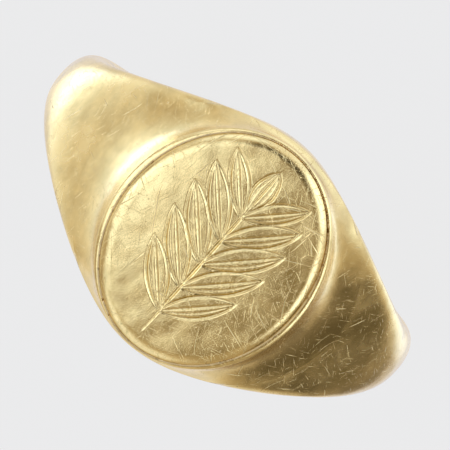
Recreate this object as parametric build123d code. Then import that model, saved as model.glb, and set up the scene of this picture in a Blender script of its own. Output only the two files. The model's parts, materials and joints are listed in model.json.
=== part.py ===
"""Oval signet ring, worked in gold: a forged hoop with tapering shoulders, an oval head let into it,
a table plate let into the head, and the solder that holds the three together.

Millimetres. The origin is the centre of the finger hole. +Y runs along the finger, +Z points up
through the middle of the table and X runs from shoulder to shoulder.
"""

import math
import os

from build123d import *

# Finger hole and hoop
BORE_R = 9.1  # inside radius of the ring
BACK_WALL = 1.35  # metal at the back of the hand side, opposite the table
SIDE_WALL = 1.65  # metal where the hoop is widest
CREST_WALL = 1.6  # metal of the hoop where it passes the head
BACK_HALF_WIDTH = 1.45  # half the width of the hoop at the back
NARROW_FROM, NARROW_TO = 62, 150  # degrees from the table between which it narrows to the back
JOINT_GAP = 0.12  # thickness of the solder that closes the hoop at the back

# Shoulders, seen from above: one branch of a hyperbola, round beside the head and straight further out
SHOULDER_BEND = 2.29  # larger is rounder beside the head
SHOULDER_SLOPE = 0.56  # half width lost per millimetre along the straight taper

# Head: an oval boss with a flared foot
RIM = (5.1, 5.88)  # half axes of the head's rim, across and along the finger
FOOT = (7.1, 6.1)  # half axes of the head's foot
RIM_Z = 11.2  # height of the rim over the centre of the hole
FOOT_Z = 8.0  # height at which the flare reaches the foot
ROOT_Z = 5.0  # the foot's oval is drawn down to here, then cut to the seat
SEAT_R = 10.0  # the hoop carries on under the head as a strip out to this radius
FILM = 0.1  # thickness of the solder film under and around the head
FLARE_STEPS = 4

# Table: the plate that takes the engraving
TABLE = (4.78, 5.72)  # half axes of the plate
TABLE_Z = 11.5  # height of the plate's face
TABLE_THICK = 0.8
TABLE_ROUND = 0.4  # worn rounding of the plate's edge
TABLE_FILM = 0.08  # thickness of the solder round and under the plate
TABLE_FILM_Z = 11.25  # the solder stands this high in the seam

# How the hoop's section is drawn: a superellipse whose widest line lies a little over the hole
WAIST = 0.35
HEAD_CORNER = 4.5  # exponent of the outline beside the head: high is square, 2 is an ellipse
HOOP_CORNER = 2.3  # exponent further round
CORNER_FROM, CORNER_TO = 20, 85  # degrees from the table between which one turns into the other
SECTION_POINTS = 20
STATIONS = range(0, 181, 15)  # degrees from the table
REACH = 40  # longer than the ring in every direction


def smooth(t):
    """Smooth step from 0 to 1."""
    t = min(1.0, max(0.0, t))
    return t * t * (3 - 2 * t)


def hoop_wall(angle):
    """Metal over the hole at an angle from the table, in degrees."""
    if angle < 90:
        return CREST_WALL + (SIDE_WALL - CREST_WALL) * smooth(angle / 90)
    return SIDE_WALL + (BACK_WALL - SIDE_WALL) * smooth((angle - 90) / 90)


def shoulder_half_width(across):
    """Half the hoop's width at a distance from the middle of the ring."""
    return FOOT[1] + SHOULDER_BEND - math.hypot(SHOULDER_BEND, SHOULDER_SLOPE * across)


def hoop_half_width(angle):
    """Half the hoop's width at an angle from the table."""
    across = (BORE_R + hoop_wall(angle)) * math.sin(math.radians(min(angle, 90)))
    beside = shoulder_half_width(across)
    share = smooth((angle - NARROW_FROM) / (NARROW_TO - NARROW_FROM))
    return beside + (BACK_HALF_WIDTH - beside) * share


def hoop_section(angle):
    """Closed section of the hoop in the radial plane at an angle from the table."""
    half_width = hoop_half_width(angle)
    half_height = hoop_wall(angle) - WAIST
    share = smooth((angle - CORNER_FROM) / (CORNER_TO - CORNER_FROM))
    corner = HEAD_CORNER + (HOOP_CORNER - HEAD_CORNER) * share
    radial = math.radians(angle)
    plane = Plane(
        origin=(0, 0, 0), x_dir=(0, 1, 0), z_dir=(math.cos(radial), 0, -math.sin(radial))
    )
    outline = []
    for step in range(SECTION_POINTS):
        turn = 2 * math.pi * step / SECTION_POINTS
        across, up = math.cos(turn), math.sin(turn)
        reach = (abs(across) ** corner + abs(up) ** corner) ** (1 / corner)
        place = Vector(half_width * across / reach, BORE_R + WAIST + half_height * up / reach, 0)
        outline.append(plane.from_local_coords(place))
    return make_face(Wire([Spline(*outline, periodic=True)]))


def along_finger(radius):
    """A long cylinder on the finger's axis."""
    return Rotation(90, 0, 0) * Cylinder(radius, REACH)


def oval(half_axes, low, high, grow=0.0):
    """A straight oval block, larger all round by grow."""
    outline = Ellipse(half_axes[0] + grow, half_axes[1] + grow)
    return Pos(0, 0, low) * extrude(outline, high - low)


def hoop_blank():
    """The forged hoop before the head is let in: sections lofted round one side, then mirrored."""
    half = loft([hoop_section(angle) for angle in STATIONS])
    return half + mirror(half, Plane.YZ) - along_finger(BORE_R)


def boss():
    """The flared body of the head: ovals lofted from the foot up to the rim, on a straight root."""
    levels = []
    for step in range(FLARE_STEPS + 1):
        share = step / FLARE_STEPS
        axes = [rim + (foot - rim) * (1 - share) ** 2 for rim, foot in zip(RIM, FOOT)]
        levels.append(Pos(0, 0, FOOT_Z + (RIM_Z - FOOT_Z) * share) * Ellipse(*axes))
    return loft(levels) + oval(FOOT, ROOT_Z, FOOT_Z)


def head_room(grow):
    """The room that the head takes out of the hoop: its foot's oval, down to the seat."""
    return oval(FOOT, ROOT_Z, REACH, grow) - along_finger(SEAT_R + FILM - grow)


def joint_room():
    """The gap across the back of the hoop, where its two ends meet."""
    return Pos(0, 0, -BORE_R) * Box(JOINT_GAP, REACH, 4 * BACK_WALL)


def table_room(grow):
    """The plate's straight oval, larger all round and downwards by grow."""
    return oval(TABLE, TABLE_Z - TABLE_THICK - grow, TABLE_Z, grow)


def make_shank(blank):
    """The hoop with the seat for the head cut into its crest, open at the back joint."""
    return blank - head_room(FILM) - joint_room()


def make_head(blank):
    """The boss, flush with the hoop round its foot, with a recess for the plate."""
    return ((blank + boss()) & head_room(0)) - table_room(TABLE_FILM)


def make_table_plate():
    """The plate, its upper edge rounded by wear."""
    block = table_room(0)
    return fillet(block.edges().group_by(Axis.Z)[-1], TABLE_ROUND)


def make_table_solder():
    """The thin cup of solder round and under the plate."""
    cup = table_room(TABLE_FILM) - table_room(0)
    return cup & oval(TABLE, 0, TABLE_FILM_Z, 2 * TABLE_FILM)


def make_head_solder(blank):
    """The film under the head and round its foot, up to the hoop's surface."""
    return blank & (head_room(FILM) - head_room(0))


def make_shank_joint_solder(blank):
    """The film that closes the hoop at the back."""
    return blank & joint_room()


if __name__ == "__main__":
    os.makedirs("parts", exist_ok=True)
    ring = hoop_blank()
    export_step(make_shank(ring), "parts/shank.step")
    export_step(make_head(ring), "parts/head.step")
    export_step(make_table_plate(), "parts/table_plate.step")
    export_step(make_table_solder(), "parts/table_solder.step")
    export_step(make_head_solder(ring), "parts/head_solder.step")
    export_step(make_shank_joint_solder(ring), "parts/shank_joint_solder.step")
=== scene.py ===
"""Oval gold signet ring: the looks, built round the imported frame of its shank, head, table and solder."""

import json
import math

import bmesh
import bpy
import numpy as np
from bpy.props import FloatProperty, FloatVectorProperty, IntProperty, PointerProperty
from mathutils import Matrix, Vector


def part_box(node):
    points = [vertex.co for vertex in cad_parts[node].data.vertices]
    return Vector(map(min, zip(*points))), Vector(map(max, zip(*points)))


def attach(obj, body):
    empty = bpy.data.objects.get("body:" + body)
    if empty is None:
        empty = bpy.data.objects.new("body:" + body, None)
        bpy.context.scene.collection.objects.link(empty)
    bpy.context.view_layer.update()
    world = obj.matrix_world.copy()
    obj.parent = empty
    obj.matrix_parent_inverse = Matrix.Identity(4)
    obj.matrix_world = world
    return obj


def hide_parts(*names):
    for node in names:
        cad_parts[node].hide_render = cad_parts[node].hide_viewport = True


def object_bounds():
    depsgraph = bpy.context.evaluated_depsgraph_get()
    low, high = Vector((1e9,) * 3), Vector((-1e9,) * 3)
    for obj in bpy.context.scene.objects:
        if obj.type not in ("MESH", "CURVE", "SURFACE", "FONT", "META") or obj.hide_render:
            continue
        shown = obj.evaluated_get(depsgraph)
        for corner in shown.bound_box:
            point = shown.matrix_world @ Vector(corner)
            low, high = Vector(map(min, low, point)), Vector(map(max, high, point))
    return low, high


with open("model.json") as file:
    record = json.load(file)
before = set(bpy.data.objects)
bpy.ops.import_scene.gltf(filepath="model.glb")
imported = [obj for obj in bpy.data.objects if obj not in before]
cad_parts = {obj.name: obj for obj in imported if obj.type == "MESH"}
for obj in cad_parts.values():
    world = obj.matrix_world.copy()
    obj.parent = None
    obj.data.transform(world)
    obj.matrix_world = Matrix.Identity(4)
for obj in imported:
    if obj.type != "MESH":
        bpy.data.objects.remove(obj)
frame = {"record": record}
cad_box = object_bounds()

bl_info = {
    "name": "Signet Ring",
    "version": (1, 0, 0),
    "blender": (4, 5, 0),
    "location": "3D View > Sidebar > Signet Ring",
    "description": "Builds an oval gold signet ring with an engraved table round its packed frame",
    "category": "Object",
}

MM = 0.001  # shapes are worked out in millimetres and stored in metres
BODY = "root"


# ---------------------------------------------------------------- sizes read from the frame


def box_mm(node):
    """Lowest and highest corner of a frame node, in millimetres."""
    low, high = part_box(node)
    return np.array(low) / MM, np.array(high) / MM


BORE_R = next(m["dims"]["r_mm"] for m in frame["record"]["mounts"] if m["name"] == "finger_bore")
SHANK_LOW, SHANK_HIGH = box_mm("shank")
HEAD_HIGH = box_mm("head")[1]
TABLE_LOW, TABLE_HIGH = box_mm("table_plate")
CUP_LOW, CUP_HIGH = box_mm("table_solder")
FILM_HIGH = box_mm("head_solder")[1]
JOINT_HIGH = box_mm("shank_joint_solder")[1]

SIDE_WALL = SHANK_HIGH[0] - BORE_R
BACK_WALL = -SHANK_LOW[2] - BORE_R
CREST_WALL = SIDE_WALL - 0.05  # the hoop is a little thinner where it passes the head
BACK_HALF_WIDTH = JOINT_HIGH[1]
JOINT_HALF = JOINT_HIGH[0]
FOOT_ALONG = 6.1  # half length of the head's foot along the finger
FOOT = np.array([HEAD_HIGH[0], FOOT_ALONG])  # half axes of the foot
FILM = FILM_HIGH[0] - HEAD_HIGH[0]
SEAT_R = FILM_HIGH[2] - FILM  # outside radius of the strip under the head
RIM_Z = HEAD_HIGH[2]
TABLE = TABLE_HIGH[:2]
TABLE_Z = TABLE_HIGH[2]
CUP = CUP_HIGH[:2]

# Shape constants that the frame's boxes don't give
RIM = np.array([5.1, 5.88])  # half axes of the head's rim
SHOULDER_BEND = 2.29  # roundness of the shoulders beside the head, seen from above
SHOULDER_SLOPE = 0.56  # half width lost per millimetre further out
WAIST = 0.35  # height over the hole at which the hoop is widest
HEAD_CORNER = 4.5  # squareness of the section beside the head
HOOP_CORNER = 2.3  # squareness of the section further round
NARROW = (62, 150)  # degrees from the table between which the hoop narrows to its back
SQUARE = (20, 85)  # degrees between which the section turns from square to round
SCOOP = 0.36  # depth of the hollow between the ridges of each shoulder
SCOOP_AT, SCOOP_REACH = 44, 17  # degrees from the table, to its deepest line and from there outwards


# ---------------------------------------------------------------- properties


class SignetSizes(bpy.types.PropertyGroup):
    """Sizes of the visible detail."""

    cut_width: FloatProperty(
        name="Cut width", description="Widest an engraved cut gets", default=0.20 * MM,
        min=0.02 * MM, max=0.5 * MM, precision=6, subtype="DISTANCE", unit="LENGTH",
    )
    cut_depth: FloatProperty(
        name="Cut depth", description="Depth of the widest cut", default=0.085 * MM,
        min=0.0, max=0.3 * MM, precision=6, subtype="DISTANCE", unit="LENGTH",
    )
    table_round: FloatProperty(
        name="Table edge", description="Width of the table's worn rounding", default=0.56 * MM,
        min=0.05 * MM, max=1.5 * MM, precision=6, subtype="DISTANCE", unit="LENGTH",
    )
    table_crown: FloatProperty(
        name="Table crown", description="How much the table falls towards its edge", default=0.10 * MM,
        min=0.0, max=0.3 * MM, precision=6, subtype="DISTANCE", unit="LENGTH",
    )
    table_grid: IntProperty(
        name="Table grid", description="Vertices along one side of the table's grid", default=281,
        min=41, max=300,
    )


class SignetFinish(bpy.types.PropertyGroup):
    """Colours and finish of the metal."""

    gold: FloatVectorProperty(
        name="Gold", description="Colour of the worn gold", subtype="COLOR", size=3,
        default=(0.84, 0.655, 0.27), min=0.0, max=1.0,
    )
    solder: FloatVectorProperty(
        name="Solder", description="Colour of the solder in the seams", subtype="COLOR", size=3,
        default=(0.72, 0.54, 0.25), min=0.0, max=1.0,
    )
    tarnish: FloatVectorProperty(
        name="Tarnish", description="Colour of the dirt in cuts and seams", subtype="COLOR", size=3,
        default=(0.22, 0.15, 0.06), min=0.0, max=1.0,
    )


class SignetStage(bpy.types.PropertyGroup):
    """Floor, light and camera."""

    floor: FloatVectorProperty(
        name="Floor", description="Colour of the floor and backdrop", subtype="COLOR", size=3,
        default=(0.83, 0.83, 0.83), min=0.0, max=1.0,
    )
    distance: FloatProperty(
        name="Camera distance", description="From the middle of the finger hole to the camera",
        default=0.2155, min=0.05, max=2.0, subtype="DISTANCE", unit="LENGTH",
    )
    tilt_along: FloatProperty(
        name="Tilt along the finger", description="Lean of the camera along the finger's axis",
        default=math.radians(7.8), subtype="ANGLE", unit="ROTATION",
    )
    tilt_across: FloatProperty(
        name="Tilt across the finger", description="Lean of the camera towards the left shoulder",
        default=math.radians(1.5), subtype="ANGLE", unit="ROTATION",
    )
    roll: FloatProperty(
        name="Roll", description="Turn of the picture about the line of sight",
        default=math.radians(41.4), subtype="ANGLE", unit="ROTATION",
    )
    field: FloatProperty(
        name="Field width", description="Width of the view at the middle of the finger hole",
        default=21.61 * MM, min=MM, max=1.0, precision=5, subtype="DISTANCE", unit="LENGTH",
    )


# ---------------------------------------------------------------- meshes


def outward(points, faces):
    """The faces turned, if need be, so that the closed mesh's signed volume is positive."""
    volume = 0.0
    for group in faces:
        for step in range(1, group.shape[1] - 1):
            a, b, c = points[group[:, 0]], points[group[:, step]], points[group[:, step + 1]]
            volume += np.einsum("ij,ij->", a, np.cross(b, c))
    return faces if volume > 0 else [group[:, ::-1] for group in faces]


def make_piece(name, points_mm, faces, node, material, values=None):
    """A smooth-shaded object from points in millimetres and groups of triangles and quads."""
    faces = outward(points_mm, faces)
    mesh = bpy.data.meshes.new(name)
    corners = np.concatenate([group.ravel() for group in faces]).astype(np.int32)
    sizes = np.concatenate([np.full(len(group), group.shape[1]) for group in faces])
    starts = np.concatenate([[0], np.cumsum(sizes)[:-1]]).astype(np.int32)
    mesh.vertices.add(len(points_mm))
    mesh.loops.add(len(corners))
    mesh.polygons.add(len(sizes))
    mesh.vertices.foreach_set("co", (points_mm * MM).astype(np.float32).ravel())
    mesh.loops.foreach_set("vertex_index", corners)
    mesh.polygons.foreach_set("loop_start", starts)
    mesh.polygons.foreach_set("use_smooth", np.ones(len(sizes), bool))
    mesh.update(calc_edges=True)
    mesh.validate()
    for key, array in (values or {}).items():
        layer = mesh.attributes.new(key, "FLOAT", "POINT")
        layer.data.foreach_set("value", array.astype(np.float32).ravel())
    piece = bpy.data.objects.new(name, mesh)
    bpy.context.scene.collection.objects.link(piece)
    mesh.materials.append(material)
    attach(piece, BODY)
    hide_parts(node)
    return piece


def strip(first, second):
    """Quads between two closed loops of vertex numbers."""
    return np.stack([first, np.roll(first, -1), np.roll(second, -1), second], axis=1)


def capped_tube(rows):
    """A closed shell from loops of points.

    Quads run from each loop to the next, and a fan to the middle closes each end.
    """
    count, around = rows.shape[:2]
    points = np.concatenate([rows.reshape(-1, 3), rows[0].mean(0)[None], rows[-1].mean(0)[None]])
    loops = np.arange(count * around).reshape(count, around)
    quads = np.concatenate([strip(a, b) for a, b in zip(loops[:-1], loops[1:])])
    fans = []
    for loop, middle, turn in ((loops[0], count * around, 1), (loops[-1], count * around + 1, -1)):
        pairs = np.stack([np.roll(loop, -1), loop], axis=1)[:, ::turn]
        fans.append(np.column_stack([pairs, np.full(around, middle)]))
    return points, [quads, np.concatenate(fans)]


# ---------------------------------------------------------------- the hoop's outer surface


def smooth(t):
    """Smooth step from 0 to 1."""
    t = np.clip(t, 0.0, 1.0)
    return t * t * (3 - 2 * t)


def hoop_shape(turn):
    """Wall, half width and squareness of the hoop's section at an angle from the table, in radians.

    The half width is one branch of a hyperbola in the distance from the middle down to the sides,
    with a smooth step to the narrow back. The wall and the squareness are smooth steps.
    """
    degrees = np.abs(np.degrees(turn))
    upper = CREST_WALL + (SIDE_WALL - CREST_WALL) * smooth(degrees / 90)
    wall = upper + (BACK_WALL - SIDE_WALL) * smooth((degrees - 90) / 90)
    across = (BORE_R + upper) * np.sin(np.radians(np.minimum(degrees, 90)))
    half = FOOT[1] + SHOULDER_BEND - np.hypot(SHOULDER_BEND, SHOULDER_SLOPE * across)
    half = half + (BACK_HALF_WIDTH - half) * smooth((degrees - NARROW[0]) / (NARROW[1] - NARROW[0]))
    rounding = smooth((degrees - SQUARE[0]) / (SQUARE[1] - SQUARE[0]))
    corner = HEAD_CORNER + (HOOP_CORNER - HEAD_CORNER) * rounding
    return wall, half, corner


def hollow(turn, share):
    """How far the shoulder is scooped at a share of its half width: a Gaussian round the hoop,
    times a steep-sided dish across it, so that two ridges are left standing.
    """
    away = (np.abs(np.degrees(turn)) - SCOOP_AT) / SCOOP_REACH
    return SCOOP * np.exp(-(away**2)) * np.clip(1 - share**2.6, 0, 1) ** 1.4


def crown_radius(turn, y):
    """Radius of the outer surface at y along the finger.

    It is the upper half of a superellipse, less the hollow.
    """
    wall, half, corner = hoop_shape(turn)
    share = np.clip(np.abs(y) / half, 0, 1)
    rise = (1 - share**corner) ** (1 / corner)
    return BORE_R + WAIST + (wall - WAIST) * rise - hollow(turn, share)


def width_at(turn, radius):
    """Half width of the outer surface at a radius: the same superellipse read the other way."""
    wall, half, corner = hoop_shape(turn)
    share = np.clip(np.abs(radius - BORE_R - WAIST) / (wall - WAIST), 0, 1)
    return half * (1 - share**corner) ** (1 / corner)


def foot_line(angles, grow, seat_r):
    """Points where the upright oval of the foot, larger by grow, meets the hoop's outer surface.

    Where the oval passes beyond the hoop's side, the point lies on the side at the seat's radius.
    The turn about the finger's axis is found by repeated substitution.
    """
    x = (FOOT[0] + grow) * np.cos(angles)
    y = (FOOT[1] + grow) * np.sin(angles)
    turn = np.arcsin(x / (BORE_R + CREST_WALL))
    for _ in range(30):
        reach = np.minimum(np.abs(y), width_at(turn, seat_r))
        radius = np.maximum(crown_radius(turn, reach), seat_r)
        turn = np.arcsin(np.clip(x / radius, -1, 1))
    return turn, np.copysign(reach, y), radius


def polar(turn, y, radius):
    """Points from the turn about the finger's axis, the place along it and the radius."""
    return np.stack(np.broadcast_arrays(radius * np.sin(turn), y, radius * np.cos(turn)), axis=-1)


# ---------------------------------------------------------------- pieces


BORE_STEPS = 5
CROWN_STEPS = 34
STEP_STEPS = 3
SEAT_STEPS = 6
HEAD_ROWS = 121  # rows of the hoop between the two tips of the foot
BACK_ROWS = 120  # rows from one tip of the foot to the joint at the back
AROUND = 360  # points round the head's ovals


def section_loop(turn, edge_y, edge_r, seat_r):
    """Closed loops of the hoop's section, one per turn, as rows of points.

    Each half runs along the hole, round the superellipse up to the edge of the head's pocket,
    down to the seat and across it to the middle. Where there is no pocket, the edge is the crown's
    middle and the seat has its radius, so those points fall together and are merged later.
    """
    turn, edge_y, edge_r, seat_r = (np.asarray(a, float)[:, None] for a in (turn, edge_y, edge_r, seat_r))
    wall, half, corner = hoop_shape(turn)
    high = wall - WAIST
    low_share = (1 - np.minimum(WAIST / high, 1) ** corner) ** (1 / corner)
    start = np.arctan2(-WAIST / high, low_share)
    edge_share = np.clip(edge_y / half, 0, 1)
    end = np.arctan2((1 - edge_share**corner) ** (1 / corner), edge_share)
    angle = start + (end - start) * np.linspace(0, 1, CROWN_STEPS)
    across, up = np.cos(angle), np.sin(angle)
    reach = (np.abs(across) ** corner + np.abs(up) ** corner) ** (1 / corner)
    hole = half * low_share * np.linspace(0, 1, BORE_STEPS, endpoint=False)
    drop = np.linspace(0, 1, STEP_STEPS + 1)[1:]
    cross = np.linspace(1, 0, SEAT_STEPS + 1)[1:]
    y = np.concatenate([hole, half * across / reach, edge_y + 0 * drop, edge_y * cross], axis=1)
    scooped = high * up / reach - hollow(turn, across / reach) * (up > 0)
    r = np.concatenate(
        [BORE_R + 0 * hole, BORE_R + WAIST + scooped, edge_r + (seat_r - edge_r) * drop,
         seat_r + 0 * cross], axis=1)
    y = np.concatenate([y, -y[:, -2:0:-1]], axis=1)
    r = np.concatenate([r, r[:, -2:0:-1]], axis=1)
    return polar(turn, y, r)


MERGE_GAP = 0.0004 * MM  # points closer than this are one
FLAT_EDGE = 0.0002 * MM  # shorter edges are dissolved


def finish_edges(piece, degrees):
    """Joins points that fall together, with the faces that they flatten, and marks the sharp edges."""
    work = bmesh.new()
    work.from_mesh(piece.data)
    bmesh.ops.remove_doubles(work, verts=work.verts, dist=MERGE_GAP)
    bmesh.ops.dissolve_degenerate(work, edges=work.edges, dist=FLAT_EDGE)
    work.to_mesh(piece.data)
    work.free()
    piece.data.update()
    piece.data.set_sharp_from_angle(angle=math.radians(degrees))


def build_hoop(material):
    """The hoop: sections carried round the finger's axis, with the head's pocket cut into the crest.

    Between the tips of the foot, the pocket's edge in each section is where the upright oval crosses
    the outer surface, found by repeated substitution.
    """
    a, b = FOOT + FILM
    tip = foot_line(np.array([0.0]), FILM, SEAT_R)[0][0]
    inner = np.arcsin(np.sin(tip) * np.sin(np.linspace(-np.pi / 2, np.pi / 2, HEAD_ROWS)))
    edge_y = np.zeros(HEAD_ROWS)
    for _ in range(60):
        share = 1 - (crown_radius(inner, edge_y) * np.sin(inner) / a) ** 2
        edge_y = 0.5 * edge_y + 0.5 * b * np.sqrt(np.clip(share, 0, 1))
    edge_y = np.minimum(edge_y, width_at(inner, SEAT_R))
    edge_y[[0, -1]] = 0
    edge_r = np.maximum(crown_radius(inner, edge_y), SEAT_R)
    pocket = section_loop(inner, edge_y, edge_r, np.full(HEAD_ROWS, SEAT_R))
    end = np.pi - JOINT_HALF / (BORE_R + BACK_WALL / 2)
    outer = np.linspace(tip, end, BACK_ROWS)
    crown = crown_radius(outer, 0 * outer)
    side = section_loop(outer, 0 * outer, crown, crown)
    mirrored = section_loop(-outer, 0 * outer, crown, crown)
    rows = np.concatenate([mirrored[::-1], pocket, side])
    points, faces = capped_tube(rows)
    piece = make_piece("hoop", points, faces, "shank", material)
    finish_edges(piece, 48)


def build_back_joint(material):
    """The film of solder across the back: the hoop's section at each face of the gap."""
    gap = JOINT_HALF / (BORE_R + BACK_WALL / 2)
    turn = np.pi + gap * np.array([-1.0, -0.5, 0.0, 0.5, 1.0])
    turn = np.where(turn > np.pi, turn - 2 * np.pi, turn)
    crown = crown_radius(turn, 0 * turn)
    points, faces = capped_tube(section_loop(turn, 0 * turn, crown, crown))
    piece = make_piece("back_joint", points, faces, "shank_joint_solder", material)
    finish_edges(piece, 48)


def saddle(turn, y, radius, shares):
    """Loops of a saddle: the outer loop shrunk in plan and laid on a cylinder about the finger."""
    x = radius * np.sin(turn)
    xs, ys = np.multiply.outer(shares, x), np.multiply.outer(shares, y)
    return np.stack([xs, ys, np.sqrt(radius**2 - xs**2)], axis=-1)


def oval_loop(axes, angles, z):
    """A level oval of points."""
    return np.stack([axes[0] * np.cos(angles), axes[1] * np.sin(angles), z + 0 * angles], axis=-1)


SHRINK = np.array([1.0, 0.97, 0.9, 0.8, 0.65, 0.5, 0.35, 0.2, 0.08])
LIP_WEAR = 0.07  # worn off the lip beside the plate
LIP_DROP = 0.17  # worn off its outer edge
LIP_ROWS = 9
RECESS_STEP = 0.3  # from the recess's floor to the next loop of its wall
FLARE_ROWS = 40
STEP_IN = 0.25  # how far inside the foot the hoop's slope is read
LIFT = 0.02  # added to that step, so that the flare leaves the hoop upwards
WALL_LEAN = math.radians(78)  # slope of the head's side just under its rim
FOOT_PULL, RIM_PULL = 0.58, 0.24  # how far the flare keeps each end's direction


def head_flare(angles):
    """Loops of the head's side: Bezier curves from the rim down to the foot.

    Each curve leaves the rim along a wall of WALL_LEAN and arrives along the hoop's own surface.
    """
    turn, y, radius = foot_line(angles, 0, SEAT_R + FILM)
    foot = polar(turn, y, radius)
    top = oval_loop(RIM, angles, RIM_Z - LIP_DROP)
    normal = oval_loop(1 / RIM, angles, 0)
    normal /= np.linalg.norm(normal, axis=1, keepdims=True)
    span = np.linalg.norm(top - foot, axis=1, keepdims=True)
    down = top + RIM_PULL * span * (normal * math.cos(WALL_LEAN) - [0, 0, math.sin(WALL_LEAN)])
    inner_turn, inner_y, inner_radius = foot_line(angles, -STEP_IN, SEAT_R + FILM)
    climb = polar(inner_turn, inner_y, inner_radius) - foot
    climb[:, 2] += LIFT
    climb /= np.linalg.norm(climb, axis=1, keepdims=True)
    up = foot + FOOT_PULL * span * climb
    t = np.linspace(0, 1, FLARE_ROWS)[:, None, None]
    curve = (1 - t) ** 3 * top + 3 * (1 - t) ** 2 * t * down + 3 * (1 - t) * t**2 * up + t**3 * foot
    return curve, turn, y


def build_head(material):
    """The head: recess, worn lip, flared side, foot and saddle, as loops carried down the oval."""
    angles = np.linspace(0, 2 * np.pi, AROUND, endpoint=False)
    share = np.linspace(0, 1, LIP_ROWS)
    heights = RIM_Z - LIP_WEAR - (LIP_DROP - LIP_WEAR) * share**2
    lip = [oval_loop(CUP + (RIM - CUP) * s, angles, z) for s, z in zip(share, heights)]
    recess = [oval_loop(CUP, angles, z) for z in (CUP_LOW[2], CUP_LOW[2] + RECESS_STEP)]
    flare, turn, y = head_flare(angles)
    under = saddle(turn, y, SEAT_R + FILM, SHRINK)
    rows = np.concatenate([np.array(recess), np.array(lip), flare[1:], under])
    points, faces = capped_tube(rows)
    piece = make_piece("head_boss", points, faces, "head", material)
    finish_edges(piece, 60)


def build_head_seam(material):
    """The solder under the head and round its foot, filed flush with the outer surface."""
    angles = np.linspace(0, 2 * np.pi, AROUND, endpoint=False)
    turn_in, y_in, r_in = foot_line(angles, 0, SEAT_R + FILM)
    turn_out, y_out, r_out = foot_line(angles, FILM, SEAT_R)
    inner, outer = polar(turn_in, y_in, r_in), polar(turn_out, y_out, r_out)
    middle = (inner + outer) / 2
    upper = saddle(turn_in, y_in, SEAT_R + FILM, SHRINK[::-1])
    lower = saddle(turn_out, y_out, SEAT_R, SHRINK)
    rows = np.concatenate([upper, np.array([inner, middle, outer]), lower])
    points, faces = capped_tube(rows)
    piece = make_piece("head_seam", points, faces, "head_solder", material)
    finish_edges(piece, 40)


SEAM_Z = RIM_Z - LIP_WEAR  # how high the solder stands in the seam round the table
SUNK_AT = 0.95  # where round the table the solder has sunk and pitted, in radians
SINK = 0.13  # how deep it has sunk there
SINK_REACH = 0.7  # how far round that stretch goes, in radians
RIPPLE = 0.008  # unevenness of the solder's top


def build_table_seam(material):
    """The cup of solder under and round the table, its top pitted.

    The top stands SEAM_Z high, less a sunk stretch at the upper right, a smooth bump in the angle, and
    less pits: bumps of a Gaussian in the angle at seeded places, most of them in the sunk stretch.
    """
    around = 4 * AROUND
    angles = np.linspace(0, 2 * np.pi, around, endpoint=False)
    draw = np.random.default_rng(11)
    places = np.concatenate([draw.normal(SUNK_AT, 0.3, 30), draw.uniform(0, 2 * np.pi, 16)])
    depths = draw.uniform(0.02, 0.09, len(places))
    widths = draw.uniform(0.006, 0.016, len(places))
    gap = np.angle(np.exp(1j * (angles[:, None] - places)))
    pits = (depths * np.exp(-((gap / widths) ** 2))).sum(1)
    away = np.angle(np.exp(1j * (angles - SUNK_AT)))
    top = SEAM_Z - SINK * np.exp(-((away / SINK_REACH) ** 2)) + RIPPLE * np.sin(5 * angles + 1) - pits
    level = TABLE_LOW[2]
    rows = [oval_loop(TABLE * s, angles, level) for s in SHRINK[::-1]]
    for s, sink in ((0.0, 0.0), (0.35, 0.006), (0.7, 0.006), (1.0, 0.0)):
        rows.append(oval_loop(TABLE + (CUP - TABLE) * s, angles, top - sink))
    rows += [oval_loop(CUP * s, angles, CUP_LOW[2]) for s in SHRINK]
    points, faces = capped_tube(np.array(rows))
    make_piece("table_seam", points, faces, "table_solder", material)


# ---------------------------------------------------------------- the engraved table


def curve_through(points, spacing=0.02):
    """Points of a Catmull-Rom curve through the given ones, and each one's share of the way along."""
    p = np.array(points, float)
    p = np.vstack([2 * p[0] - p[1], p, 2 * p[-1] - p[-2]])
    runs = np.linalg.norm(np.diff(p[1:-1], axis=0), axis=1)
    out = []
    for k, run in enumerate(runs):
        a, b, c, d = p[k : k + 4]
        t = np.linspace(0, 1, max(4, int(run / spacing)), endpoint=False)[:, None]
        square = (2 * a - 5 * b + 4 * c - d) * t**2
        cube = (3 * b - a - 3 * c + d) * t**3
        out.append(0.5 * (2 * b + (c - a) * t + square + cube))
    curve = np.vstack(out + [p[-2][None]])
    along = np.concatenate([[0], np.cumsum(np.linalg.norm(np.diff(curve, axis=0), axis=1))])
    return curve, along / along[-1]


def leaf(base, length, lean, plump):
    """The strokes of one leaf: a rib, two edges and a shading cut between the rib and its lower edge.

    Along the leaf, from 0 to 1, each stroke stands off the rib by a share of plump times
    sin(pi t) to the power 0.8, so all of them meet at the base and at the tip. lean is in degrees.
    """
    t = np.linspace(0, 1, 11)
    turn = math.radians(lean)
    ahead = np.array([math.cos(turn), math.sin(turn)])
    aside = np.array([-ahead[1], ahead[0]])
    swell = plump * np.sin(np.pi * t) ** 0.8
    strokes = []
    for off, share in ((1.0, 1.0), (-1.0, 1.0), (0.0, 0.8), (-0.5, 0.5)):
        line = np.outer(t * length, ahead) + np.outer(off * swell, aside) + base
        strokes.append((line, share))
    return strokes


LEAVES = 5
LEAF_LEAN = 46
STEM = (-4.9, 2.6)  # both ends of the stem


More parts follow.
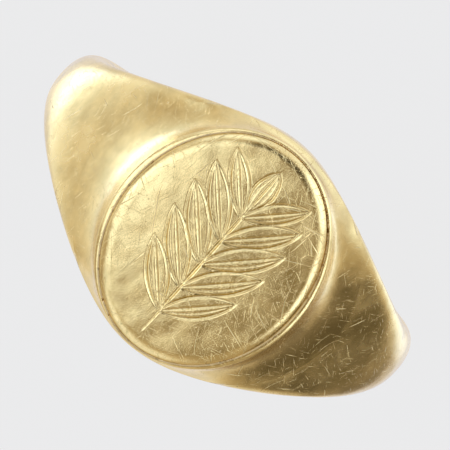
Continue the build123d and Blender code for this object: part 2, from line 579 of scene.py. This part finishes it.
def ornament():
    """The strokes of the right half, as (points, share of the cut width): a plain sprig of leaves.

    Pairs of leaves stand along a straight stem, each as long as the oval of the table leaves room
    for, with one more leaf at the top.
    """
    strokes = [(np.array([[0.0, STEM[0]], [0.0, -1.0], [0.0, STEM[1]]]), 1.1)]
    for y in np.linspace(-3.7, 2.0, LEAVES):
        room = math.sqrt(1 - ((y + 1.3) / 5.6) ** 2)
        strokes += leaf((0.0, y), 3.9 * room, LEAF_LEAN, 0.55 * room)
    return strokes + leaf((0.0, STEM[1] - 0.2), 2.3, 90, 0.5)


def engraved(xy, width, depth):
    """Depth of the engraving under each point, and how far into a cut it lies from 0 to 1.

    A cut is a V whose half width and depth swell along the stroke as the root of a sine. The
    deepest cut over a point counts. A cut's lower edge falls off a little outside the V.
    """
    deep = np.zeros(len(xy))
    inside = np.zeros(len(xy))
    for points, share in ornament():
        curve, along = curve_through(points)
        swell = 0.35 + 0.65 * np.sqrt(np.sin(np.pi * np.clip(along, 0.001, 0.999)))
        half = 0.5 * width * share * swell
        for mirror in (1, -1):
            cut_into(xy, curve * [mirror, 1], half, depth * share * swell, deep, inside)
    return deep, inside


def cut_into(xy, line, half, depth, deep, inside):
    """Adds one line of cuts to deep and inside, in place, for the points near it."""
    reach = half.max() * 1.6
    for start in range(0, len(line) - 1, 24):
        part = slice(start, min(start + 26, len(line)))
        low, high = line[part].min(0) - reach, line[part].max(0) + reach
        near = np.flatnonzero(((xy > low) & (xy < high)).all(1))
        if len(near) == 0:
            continue
        gap = np.linalg.norm(xy[near][:, None] - line[part][None], axis=2)
        nearest = gap.argmin(1)
        d = gap[np.arange(len(near)), nearest] / half[part][nearest]
        fall = np.clip(1 - d, 0, 1)
        deep[near] = np.maximum(deep[near], depth[part][nearest] * fall)
        inside[near] = np.maximum(inside[near], np.clip(1.35 - d, 0, 1))


def disc_grid(count):
    """A square grid bent into a unit disc: Shirley's concentric map, which keeps areas even."""
    side = np.linspace(-1, 1, count)
    a, b = np.meshgrid(side, side)
    wide = np.abs(a) > np.abs(b)
    radius = np.where(wide, a, b)
    safe_a, safe_b = np.where(a == 0, 1, a), np.where(b == 0, 1, b)
    angle = np.where(wide, np.pi / 4 * b / safe_a, np.pi / 2 - np.pi / 4 * a / safe_b)
    return (radius * np.cos(angle)).ravel(), (radius * np.sin(angle)).ravel()


EDGE_TURN = math.radians(74)  # how far the plate's worn edge bends down before the solder covers it
EDGE_DROP = 0.25


def build_table(sizes, material):
    """The engraved plate: a grid over its oval face, then loops round its worn edge, side and base.

    The face falls from the middle by the crown times the radius squared to the power 1.25. Round the
    edge, each loop steps out by the sine and down by one minus the cosine of its bend.
    """
    count = sizes.table_grid
    round_width = sizes.table_round / MM
    crown = sizes.table_crown / MM
    flat = TABLE - round_width
    u, v = disc_grid(count)
    xy = np.column_stack([flat[0] * u, flat[1] * v])
    deep, inside = engraved(xy, sizes.cut_width / MM, sizes.cut_depth / MM)
    fall = crown * (u**2 + v**2) ** 1.25
    top = np.column_stack([xy, TABLE_Z - fall - deep])
    index = np.arange(count * count).reshape(count, count)
    quads = np.stack([index[:-1, :-1], index[:-1, 1:], index[1:, 1:], index[1:, :-1]], axis=-1).reshape(-1, 4)
    rim = np.concatenate([index[0, :-1], index[:-1, -1], index[-1, :0:-1], index[:0:-1, 0]])
    edge = top[rim]
    normal = edge[:, :2] / flat**2
    normal /= np.linalg.norm(normal, axis=1, keepdims=True)
    slope = 2.5 * crown / flat.mean()
    bend = np.linspace(0, EDGE_TURN, 15)[1:]
    out = round_width * np.sin(bend) / math.sin(EDGE_TURN)
    drop = slope * out + EDGE_DROP * (1 - np.cos(bend)) / (1 - math.cos(EDGE_TURN))
    loops = [np.column_stack([edge[:, :2] + normal * o, edge[:, 2] - d]) for o, d in zip(out, drop)]
    last = loops[-1][:, :2]
    loops += [np.column_stack([last, np.full(len(last), z)]) for z in (TABLE_LOW[2] + 0.05, TABLE_LOW[2])]
    points = np.concatenate([top] + loops + [np.array([[0, 0, TABLE_LOW[2]]])])
    numbers = count * count + np.arange(len(loops) * len(rim)).reshape(len(loops), -1)
    rings = np.concatenate([strip(b, a) for a, b in zip([rim, *numbers[:-1]], numbers)])
    fan = np.column_stack([np.roll(numbers[-1], -1), numbers[-1], np.full(len(rim), len(points) - 1)])
    cut = np.concatenate([inside, np.zeros(len(points) - len(inside))])
    make_piece(
        "engraved_table", points, [quads, rings, fan], "table_plate", material, {"cut": cut}
    )


# ---------------------------------------------------------------- node groups and materials


def new_group(name, inputs, outputs):
    """An empty shader node group with named float or vector inputs and float outputs."""
    group = bpy.data.node_groups.new(name, "ShaderNodeTree")
    for label, kind, value in inputs:
        socket = group.interface.new_socket(label, in_out="INPUT", socket_type=kind)
        if value is not None:
            socket.default_value = value
    for label in outputs:
        group.interface.new_socket(label, in_out="OUTPUT", socket_type="NodeSocketFloat")
    start = group.nodes.new("NodeGroupInput")
    finish = group.nodes.new("NodeGroupOutput")
    return group, start, finish


def add(tree, kind, inputs=None, **settings):
    """A node with its settings and inputs: an input that is a socket is linked, a value is set."""
    node = tree.nodes.new(kind)
    for key, value in settings.items():
        setattr(node, key, value)
    for key, value in (inputs or {}).items():
        if isinstance(value, bpy.types.NodeSocket):
            tree.links.new(value, node.inputs[key])
        else:
            node.inputs[key].default_value = value
    return node


def math_node(tree, operation, a, b=None, clamp=False):
    """The output of a Math node on one or two values or sockets."""
    inputs = {0: a} if b is None else {0: a, 1: b}
    return add(tree, "ShaderNodeMath", inputs, operation=operation, use_clamp=clamp).outputs[0]


def band(tree, value, low, high):
    """A smooth step of a socket between two levels, from 0 to 1."""
    node = add(
        tree, "ShaderNodeMapRange", {"Value": value, "From Min": low, "From Max": high},
        interpolation_type="SMOOTHSTEP",
    )
    return node.outputs["Result"]


STREAK = (1 / 0.34, 1 / 13.0, 1 / 0.8)  # size of the stretched noise along, across and through a streak
# Heights of the relief, in millimetres
GRAIN_HEIGHT = 0.0055
LINE_DEPTH = 0.014
FINE_DEPTH = 0.007
PIT_DEPTH = 0.02


def scratches_group():
    """Hairline scratches: noise stretched into long thin streaks, kept only at its peaks, in four directions.

    Position is in millimetres. A slow warp keeps the streaks from being dead straight.
    """
    group, start, finish = new_group(
        "Hairline Scratches",
        [("Position", "NodeSocketVector", None), ("Amount", "NodeSocketFloat", 0.5),
         ("Fineness", "NodeSocketFloat", 1.0)],
        ["Mask", "Depth"],
    )
    warp = add(
        group, "ShaderNodeTexNoise", {"Vector": start.outputs["Position"], "Scale": 0.35, "Detail": 0.0}
    )
    bent = add(group, "ShaderNodeVectorMath", {0: warp.outputs["Color"], "Scale": 0.9}, operation="SCALE")
    place = add(
        group, "ShaderNodeVectorMath", {0: start.outputs["Position"], 1: bent.outputs[0]}, operation="ADD"
    ).outputs[0]
    sized = add(
        group, "ShaderNodeVectorMath", {0: place, "Scale": start.outputs["Fineness"]}, operation="SCALE"
    ).outputs[0]
    level = math_node(group, "MULTIPLY_ADD", start.outputs["Amount"], -0.14)
    level.node.inputs[2].default_value = 0.745
    total = None
    for turn, offset in ((0.35, 0.0), (1.25, 7.3), (2.05, 13.1), (2.75, 21.7)):
        streak = add(
            group, "ShaderNodeMapping",
            {"Vector": sized, "Rotation": (0.25 * math.sin(turn * 3), 0.2, turn), "Location": (offset, 0, 0),
             "Scale": STREAK},
            vector_type="TEXTURE",
        )
        noise = add(
            group, "ShaderNodeTexNoise",
            {"Vector": streak.outputs[0], "Scale": 1.0, "Detail": 1.0, "Roughness": 0.6},
        )
        over = math_node(group, "SUBTRACT", noise.outputs["Fac"], level)
        peak = math_node(group, "MULTIPLY", over, 14.0, clamp=True)
        total = peak if total is None else math_node(group, "MAXIMUM", total, peak)
    group.links.new(total, finish.inputs["Mask"])
    group.links.new(math_node(group, "MULTIPLY", total, -1.0), finish.inputs["Depth"])
    return group


def wear_group():
    """Wear of old soft gold: broad dents, fine pits and a cloudy change of gloss, in millimetres."""
    group, start, finish = new_group(
        "Worn Surface",
        [("Position", "NodeSocketVector", None), ("Pit Amount", "NodeSocketFloat", 0.5)],
        ["Cloud", "Dents", "Pits", "Grain"],
    )
    place = start.outputs["Position"]
    cloud, dents, grain = (
        add(
            group, "ShaderNodeTexNoise",
            {"Vector": place, "Scale": scale, "Detail": detail, "Roughness": roughness},
        )
        for scale, detail, roughness in ((0.55, 3.0, 0.6), (0.8, 1.5, 0.45), (12.0, 4.0, 0.7))
    )
    spots = add(
        group, "ShaderNodeTexVoronoi", {"Vector": place, "Scale": 3.4, "Randomness": 1.0}, feature="F1"
    )
    level = math_node(group, "MULTIPLY", start.outputs["Pit Amount"], 0.22)
    hole = math_node(group, "SUBTRACT", level, spots.outputs["Distance"])
    hole = math_node(group, "MULTIPLY", hole, 9.0, clamp=True)
    group.links.new(cloud.outputs["Fac"], finish.inputs["Cloud"])
    group.links.new(dents.outputs["Fac"], finish.inputs["Dents"])
    group.links.new(hole, finish.inputs["Pits"])
    group.links.new(grain.outputs["Fac"], finish.inputs["Grain"])
    return group


def metal(name, colour, tarnish, gloss, scratch, pits, dents, dirt=0.0):
    """Worn metal: hairlines, pits, dents and clouds on a Principled BSDF.

    gloss is the lowest and highest roughness, scratch how many hairlines, pits and dents how much of
    each, dirt how much of the tarnish colour the attribute "cut" brings out.
    """
    material = bpy.data.materials.new(name)
    material.use_nodes = True
    tree = material.node_tree
    shader = tree.nodes["Principled BSDF"]
    shader.inputs["Metallic"].default_value = 1.0
    source = add(tree, "ShaderNodeTexCoord").outputs["Object"]
    place = add(tree, "ShaderNodeVectorMath", {0: source, "Scale": 1 / MM}, operation="SCALE").outputs[0]
    lines = add(tree, "ShaderNodeGroup", node_tree=bpy.data.node_groups["Hairline Scratches"])
    lines.inputs["Amount"].default_value = scratch
    fine = add(tree, "ShaderNodeGroup", node_tree=bpy.data.node_groups["Hairline Scratches"])
    fine.inputs["Amount"].default_value = scratch + 0.15
    fine.inputs["Fineness"].default_value = 2.3
    wear = add(tree, "ShaderNodeGroup", node_tree=bpy.data.node_groups["Worn Surface"])
    wear.inputs["Pit Amount"].default_value = pits
    for node in (lines, fine, wear):
        tree.links.new(place, node.inputs["Position"])
    cut = add(tree, "ShaderNodeAttribute", attribute_name="cut").outputs["Fac"]

    cloud = band(tree, wear.outputs["Cloud"], 0.32, 0.70)
    dull = (*[c * 0.88 for c in colour], 1)
    clean = (*[min(1, c * 1.08) for c in colour], 1)
    tone = add(
        tree, "ShaderNodeMix", {"Factor": cloud, "A": dull, "B": clean}, data_type="RGBA"
    ).outputs["Result"]
    grime = math_node(tree, "MULTIPLY", cut, dirt)
    grime = math_node(tree, "MAXIMUM", grime, math_node(tree, "MULTIPLY", wear.outputs["Pits"], 0.55))
    tinted = add(
        tree, "ShaderNodeMix", {"Factor": grime, "A": tone, "B": (*tarnish, 1)}, data_type="RGBA"
    ).outputs["Result"]
    tree.links.new(tinted, shader.inputs["Base Color"])

    rough = add(
        tree, "ShaderNodeMapRange",
        {"Value": wear.outputs["Cloud"], "From Min": 0.3, "From Max": 0.7,
         "To Min": gloss[0], "To Max": gloss[1]},
    ).outputs["Result"]
    rough = math_node(tree, "ADD", rough, math_node(tree, "MULTIPLY", lines.outputs["Mask"], 0.10))
    tree.links.new(rough, shader.inputs["Roughness"])

    height = math_node(tree, "MULTIPLY", wear.outputs["Dents"], dents)
    height = math_node(tree, "ADD", height, math_node(tree, "MULTIPLY", wear.outputs["Grain"], GRAIN_HEIGHT))
    height = math_node(tree, "ADD", height, math_node(tree, "MULTIPLY", lines.outputs["Depth"], LINE_DEPTH))
    height = math_node(tree, "ADD", height, math_node(tree, "MULTIPLY", fine.outputs["Depth"], FINE_DEPTH))
    height = math_node(tree, "ADD", height, math_node(tree, "MULTIPLY", wear.outputs["Pits"], -PIT_DEPTH))
    bump = add(tree, "ShaderNodeBump", {"Height": height, "Distance": MM, "Strength": 1.0})
    tree.links.new(bump.outputs["Normal"], shader.inputs["Normal"])
    return material


def finishes(settings):
    """The five materials, made once: hoop, head, table, and solder filed flush or sunk in its seam."""
    if "Hairline Scratches" not in bpy.data.node_groups:
        scratches_group()
        wear_group()
        gold, tarnish = tuple(settings.gold), tuple(settings.tarnish)
        metal("worn_hoop", gold, tarnish, (0.18, 0.30), 0.03, 0.35, 0.05)
        metal("worn_head", gold, tarnish, (0.14, 0.26), 0.03, 0.35, 0.05)
        metal("worn_table", gold, tarnish, (0.13, 0.25), 0.26, 0.55, 0.06, dirt=0.15)
        metal("flush_solder", gold, tarnish, (0.18, 0.30), 0.03, 0.35, 0.05)
        metal("sunk_solder", tuple(settings.solder), tarnish, (0.30, 0.48), 0.2, 1.3, 0.05)
    return bpy.data.materials


# ---------------------------------------------------------------- stage


FLOOR_HALF = 0.6  # metres
CEILING = 0.48  # the even light of the room
# Each softbox: the direction it hangs in, its half angle and softness in degrees, and its light
SOFTBOXES = [
    ((0.0, 0.0, -1.0), 75, 22, 0.45),  # the white sweep that the ring stands on
    ((-1.0, -0.1, -0.05), 30, 20, 0.36),  # broad, level with the left shoulder
    ((-0.75, -0.05, -0.7), 12, 8, 0.60),  # low on the left, for the side of the head
    ((-0.77, -0.04, -0.62), 8, 6, 1.40),  # the hot middle of the same
    ((-0.4, -0.1, 0.9), 21, 8, 1.20),  # high on the left, for the table
    ((-0.3, -0.7, 0.65), 13, 8, 0.60),  # in front, for the near edge of the table
    ((-0.8, -0.15, 0.63), 10, 8, 1.60),  # left, for the walls of the cuts
    ((0.5, 0.6, 0.65), 16, 9, 1.30),  # behind on the right, for the bead of the table
    ((0.1, 1.0, 0.05), 36, 20, 0.50),  # broad, behind
    ((0.6, 0.75, 0.25), 22, 16, 0.80),  # behind on the right
    ((0.1, -1.0, 0.35), 20, 16, 0.60),  # in front
    ((-0.7, 0.7, 0.45), 18, 12, 0.90),  # behind on the left
    ((0.75, 0.0, 0.65), 12, 8, 1.80),  # right, for the bead of the table
    ((0.6, 0.2, -0.8), 13, 8, 0.60),  # low on the right, for the rim
]
# Each dark card: direction, half angle and softness in degrees, and the share of the light that it takes
SHADES = [
    ((1.0, -0.2, -0.2), 18, 8, 0.78),  # level with the right shoulder
    ((0.7, -0.28, -0.67), 13, 7, 0.75),  # low on the right, for the side of the head
    ((0.0, 0.4, 0.9), 14, 7, 0.95),  # high behind, for the far edge of the table
    ((0.3, -0.1, 0.95), 14, 9, 0.40),  # high on the right, for the right of the table
    ((-0.96, 0.0, 0.28), 9, 6, 0.35),  # left, for the hollow of the left shoulder
]
ROOM_TINT = (1.0, 0.84, 0.68)  # colour of the light where it is dim
DAYLIGHT = (0.94, 1.05, 1.40)  # colour of the light where it is bright
DIM, BRIGHT = 0.45, 1.3  # between these levels of light, one colour turns into the other
PAPER_SHADE = 0.05  # how much of its colour the floor reflects: enough for a trace of shadow
PAPER_GRAIN = 1.04  # how much lighter its lightest grain is
PAPER_GLOW = 0.95
FRAMING = (0.22 * MM, 0.20 * MM)  # how far right of and above the view's middle the finger hole's centre is


def round_patch(tree, direction, where, half, soft):
    """A soft round patch of the sky: 1 inside its half angle and 0 outside, smooth between."""
    facing = add(
        tree, "ShaderNodeVectorMath", {0: direction, 1: tuple(Vector(where).normalized())},
        operation="DOT_PRODUCT",
    ).outputs["Value"]
    edge = math.cos(math.radians(half + soft))
    core = math.cos(math.radians(max(half - soft, 0)))
    return band(tree, facing, edge, core)


def studio_world(colour):
    """Even light for the camera's own rays; for the rest, the room, its softboxes and its dark cards.

    The light is the sum of the room and the softboxes, times what each dark card leaves of it, and its
    colour turns from the room's to daylight as it gets brighter.
    """
    world = bpy.data.worlds.new("studio")
    bpy.context.scene.world = world
    world.use_nodes = True
    tree = world.node_tree
    tree.nodes.clear()
    direction = add(tree, "ShaderNodeTexCoord").outputs["Generated"]
    total = CEILING
    for where, half, soft, light in SOFTBOXES:
        patch = round_patch(tree, direction, where, half, soft)
        total = math_node(tree, "ADD", total, math_node(tree, "MULTIPLY", patch, light))
    for where, half, soft, share in SHADES:
        patch = round_patch(tree, direction, where, half, soft)
        left = math_node(tree, "SUBTRACT", 1.0, math_node(tree, "MULTIPLY", patch, share))
        total = math_node(tree, "MULTIPLY", total, left)
    tint = add(
        tree, "ShaderNodeMix",
        {"Factor": band(tree, total, DIM, BRIGHT), "A": (*ROOM_TINT, 1), "B": (*DAYLIGHT, 1)},
        data_type="RGBA",
    ).outputs["Result"]
    glow = add(tree, "ShaderNodeBackground", {"Color": tint, "Strength": total})
    plain = add(tree, "ShaderNodeBackground", {"Color": (*colour, 1), "Strength": 1.0})
    seen = add(tree, "ShaderNodeLightPath").outputs["Is Camera Ray"]
    mix = add(tree, "ShaderNodeMixShader", {0: seen, 1: glow.outputs[0], 2: plain.outputs[0]})
    finish = tree.nodes.new("ShaderNodeOutputWorld")
    tree.links.new(mix.outputs[0], finish.inputs["Surface"])


def pale_floor(colour):
    """A level floor under the ring, mostly glowing so that it stays even, with a trace of shadow."""
    z = cad_box[0][2]
    mesh = bpy.data.meshes.new("floor")
    corners = [(sx * FLOOR_HALF, sy * FLOOR_HALF, z) for sx, sy in ((-1, -1), (1, -1), (1, 1), (-1, 1))]
    mesh.from_pydata(corners, [], [(0, 1, 2, 3)])
    floor = bpy.data.objects.new("floor", mesh)
    bpy.context.scene.collection.objects.link(floor)
    material = bpy.data.materials.new("floor_paper")
    material.use_nodes = True
    tree = material.node_tree
    shader = tree.nodes["Principled BSDF"]
    source = add(tree, "ShaderNodeTexCoord").outputs["Object"]
    grain = add(tree, "ShaderNodeTexNoise", {"Vector": source, "Scale": 900.0, "Detail": 2.0}).outputs["Fac"]
    shade = band(tree, grain, 0.0, 1.0)
    base = tuple(c * PAPER_SHADE for c in colour)
    tone = add(
        tree, "ShaderNodeMix",
        {"Factor": shade, "A": (*base, 1), "B": (*[c * PAPER_GRAIN for c in base], 1)}, data_type="RGBA",
    ).outputs["Result"]
    tree.links.new(tone, shader.inputs["Base Color"])
    shader.inputs["Roughness"].default_value = 0.9
    shader.inputs["Specular IOR Level"].default_value = 0.0
    shader.inputs["Emission Color"].default_value = (*colour, 1)
    shader.inputs["Emission Strength"].default_value = PAPER_GLOW
    mesh.materials.append(material)
    floor.visible_glossy = False


def aim_camera(stage):
    """A long lens that leans along and across the finger and is rolled about its line of sight."""
    lean_along, lean_across = math.sin(stage.tilt_along), -math.sin(stage.tilt_across)
    back = Vector((lean_across, lean_along, 1.0)).normalized()
    across = Vector((1, 0, 0))
    across = (across - across.dot(back) * back).normalized()
    along = back.cross(across)
    cos, sin = math.cos(stage.roll), math.sin(stage.roll)
    right, up = across * cos + along * sin, along * cos - across * sin
    place = back * stage.distance - right * FRAMING[0] - up * FRAMING[1]
    data = bpy.data.cameras.new("camera")
    data.sensor_width = 36.0
    data.lens = data.sensor_width * stage.distance / stage.field
    data.clip_start = 0.001
    camera = bpy.data.objects.new("camera", data)
    turn = Matrix((right, up, back)).transposed().to_4x4()
    camera.matrix_world = Matrix.Translation(place) @ turn
    bpy.context.scene.collection.objects.link(camera)
    bpy.context.scene.camera = camera


# ---------------------------------------------------------------- operators and panel


class SIGNET_OT_stage(bpy.types.Operator):
    """Sets up the floor, the light and the camera"""

    bl_idname = "signet.stage"
    bl_label = "Stage"

    def execute(self, context):
        stage = context.scene.signet_stage
        context.scene.view_settings.view_transform = "Standard"
        studio_world(tuple(stage.floor))
        pale_floor(tuple(stage.floor))
        aim_camera(stage)
        return {"FINISHED"}


class SIGNET_OT_hoop(bpy.types.Operator):
    """Builds the forged hoop and its shoulders"""

    bl_idname = "signet.hoop"
    bl_label = "Hoop"

    def execute(self, context):
        build_hoop(finishes(context.scene.signet_finish)["worn_hoop"])
        return {"FINISHED"}


class SIGNET_OT_head(bpy.types.Operator):
    """Builds the oval head with its worn lip and flared foot"""

    bl_idname = "signet.head"
    bl_label = "Head"

    def execute(self, context):
        build_head(finishes(context.scene.signet_finish)["worn_head"])
        return {"FINISHED"}


class SIGNET_OT_table(bpy.types.Operator):
    """Builds the table plate and cuts its ornament"""

    bl_idname = "signet.table"
    bl_label = "Engraved Table"

    def execute(self, context):
        build_table(context.scene.signet_sizes, finishes(context.scene.signet_finish)["worn_table"])
        return {"FINISHED"}


class SIGNET_OT_seams(bpy.types.Operator):
    """Builds the three films of solder"""

    bl_idname = "signet.seams"
    bl_label = "Solder Seams"

    def execute(self, context):
        materials = finishes(context.scene.signet_finish)
        build_table_seam(materials["sunk_solder"])
        build_head_seam(materials["flush_solder"])
        build_back_joint(materials["flush_solder"])
        return {"FINISHED"}


STEPS = (SIGNET_OT_stage, SIGNET_OT_hoop, SIGNET_OT_head, SIGNET_OT_table, SIGNET_OT_seams)


class SIGNET_PT_panel(bpy.types.Panel):
    """Lists the steps and their settings"""

    bl_idname = "SIGNET_PT_panel"
    bl_label = "Signet Ring"
    bl_space_type = "VIEW_3D"
    bl_region_type = "UI"
    bl_category = "Signet Ring"

    def draw(self, context):
        for step in STEPS:
            self.layout.operator(step.bl_idname)
        for settings in (context.scene.signet_sizes, context.scene.signet_finish, context.scene.signet_stage):
            box = self.layout.box()
            for key in settings.__annotations__:
                box.prop(settings, key)


GROUPS = {"signet_sizes": SignetSizes, "signet_finish": SignetFinish, "signet_stage": SignetStage}
CLASSES = (*GROUPS.values(), *STEPS, SIGNET_PT_panel)


def register():
    for cls in CLASSES:
        bpy.utils.register_class(cls)
    for key, cls in GROUPS.items():
        setattr(bpy.types.Scene, key, PointerProperty(type=cls))


def unregister():
    for key in GROUPS:
        delattr(bpy.types.Scene, key)
    for cls in reversed(CLASSES):
        bpy.utils.unregister_class(cls)


def main():
    """Runs every step in order."""
    register()
    bpy.ops.signet.stage()
    bpy.ops.signet.hoop()
    bpy.ops.signet.head()
    bpy.ops.signet.table()
    bpy.ops.signet.seams()


if __name__ == "__main__":
    main()
